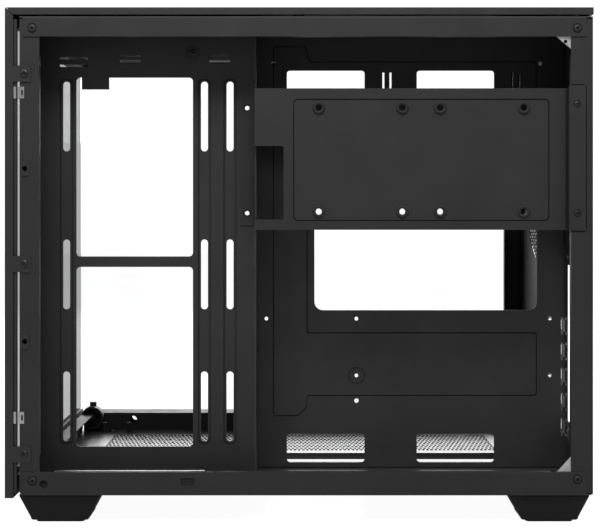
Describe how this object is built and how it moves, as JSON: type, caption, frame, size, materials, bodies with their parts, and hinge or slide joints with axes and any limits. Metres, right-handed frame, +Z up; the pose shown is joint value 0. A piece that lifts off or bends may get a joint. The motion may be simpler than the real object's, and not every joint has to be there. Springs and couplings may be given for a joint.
{
  "type": "desktop computer case",
  "caption": "Empty dual chamber desktop computer case for a microATX board, glass front and left side, right side open, with lift-off filters and push buttons.",
  "frame": {"origin": "centre of the bounding box's footprint, on the floor under the feet", "axes": "+Z up, -Y towards the glass front, +Y towards the rear wall, +X towards the open right side"},
  "size_m": [0.292, 0.4422, 0.3777],
  "materials": {
    "powder_black": "fine textured powder coat, satin",
    "black_plastic": "matte, fine grain",
    "tinted_glass": "clear tempered glass with a light grey tint",
    "filter_net": "fine woven nylon net",
    "black_rubber": "matte",
    "zinc_steel": "zinc plated or black zinc",
    "circuit_board": "solder mask"
  },
  "bodies": {
    "chassis": {"audio_jack": "black_plastic", "bottom_filter_guides": "black_plastic", "case_screws": "zinc_steel", "chassis_rivets": "zinc_steel", "corner_gussets": "zinc_steel", "drive_grommets": "black_rubber", "drive_plate": "powder_black", "floor_pan": "powder_black", "floor_posts": "black_plastic", "floor_vents": "powder_black", "foot_front_left": "black_plastic", "foot_front_right": "black_plastic", "foot_pads": "black_rubber", "foot_rear_left": "black_plastic", "foot_rear_right": "black_plastic", "front_glass": "tinted_glass", "front_header": "powder_black", "front_panel_frame": "black_plastic", "front_pin_sockets": "black_plastic", "front_sill": "powder_black", "front_snap_clips": "zinc_steel", "io_board": "circuit_board", "left_bottom_rail": "powder_black", "left_rear_post": "powder_black", "left_top_rail": "powder_black", "motherboard_tray": "powder_black", "power_button_housing": "black_plastic", "power_button_spring": "zinc_steel", "power_housing_cap": "black_plastic", "rear_fan_grille": "powder_black", "rear_wall": "powder_black", "reset_switch": "black_plastic", "right_bottom_rail": "powder_black", "right_front_post": "powder_black", "right_rear_post": "powder_black", "right_top_rail": "powder_black", "roof_pan": "powder_black", "side_bracket_bars": "powder_black", "side_bracket_front": "powder_black", "side_bracket_step": "powder_black", "side_fan_bracket": "powder_black", "slot_cover_1": "powder_black", "slot_cover_2": "powder_black", "slot_cover_3": "powder_black", "slot_cover_4": "powder_black", "slot_cover_5": "powder_black", "slot_screws": "zinc_steel", "slot_shelf": "powder_black", "standoffs": "zinc_steel", "top_cover": "black_plastic", "usb_ports": "zinc_steel"},
    "side_panel": {"side_glass": "tinted_glass", "side_glass_strips": "powder_black", "side_glass_studs": "zinc_steel"},
    "top_filter": {"top_filter_frame": "black_plastic", "top_filter_mesh": "filter_net"},
    "bottom_filter": {"bottom_filter_frame": "black_plastic", "bottom_filter_mesh": "filter_net"},
    "power_button": {"power_button": "black_plastic"},
    "reset_button": {"reset_button": "black_plastic"}
  },
  "joints": [
    {"name": "side_panel_pull", "type": "slide", "parent": "chassis", "child": "side_panel", "axis": [-1, 0, 0], "range_m": [0, 0.08]},
    {"name": "top_filter_lift", "type": "slide", "parent": "chassis", "child": "top_filter", "axis": [0, 0, 1], "range_m": [0, 0.05]},
    {"name": "bottom_filter_slide", "type": "slide", "parent": "chassis", "child": "bottom_filter", "axis": [0, -1, 0], "range_m": [0, 0.25]},
    {"name": "power_press", "type": "slide", "parent": "chassis", "child": "power_button", "axis": [1, 0, 0], "range_m": [0, 0.0012], "stiffness_N_per_m": 900, "springref_m": -0.001, "deforming": ["power_button_spring"]},
    {"name": "reset_press", "type": "slide", "parent": "chassis", "child": "reset_button", "axis": [1, 0, 0], "range_m": [0, 0.0008], "stiffness_N_per_m": 700, "springref_m": -0.001}
  ]
}
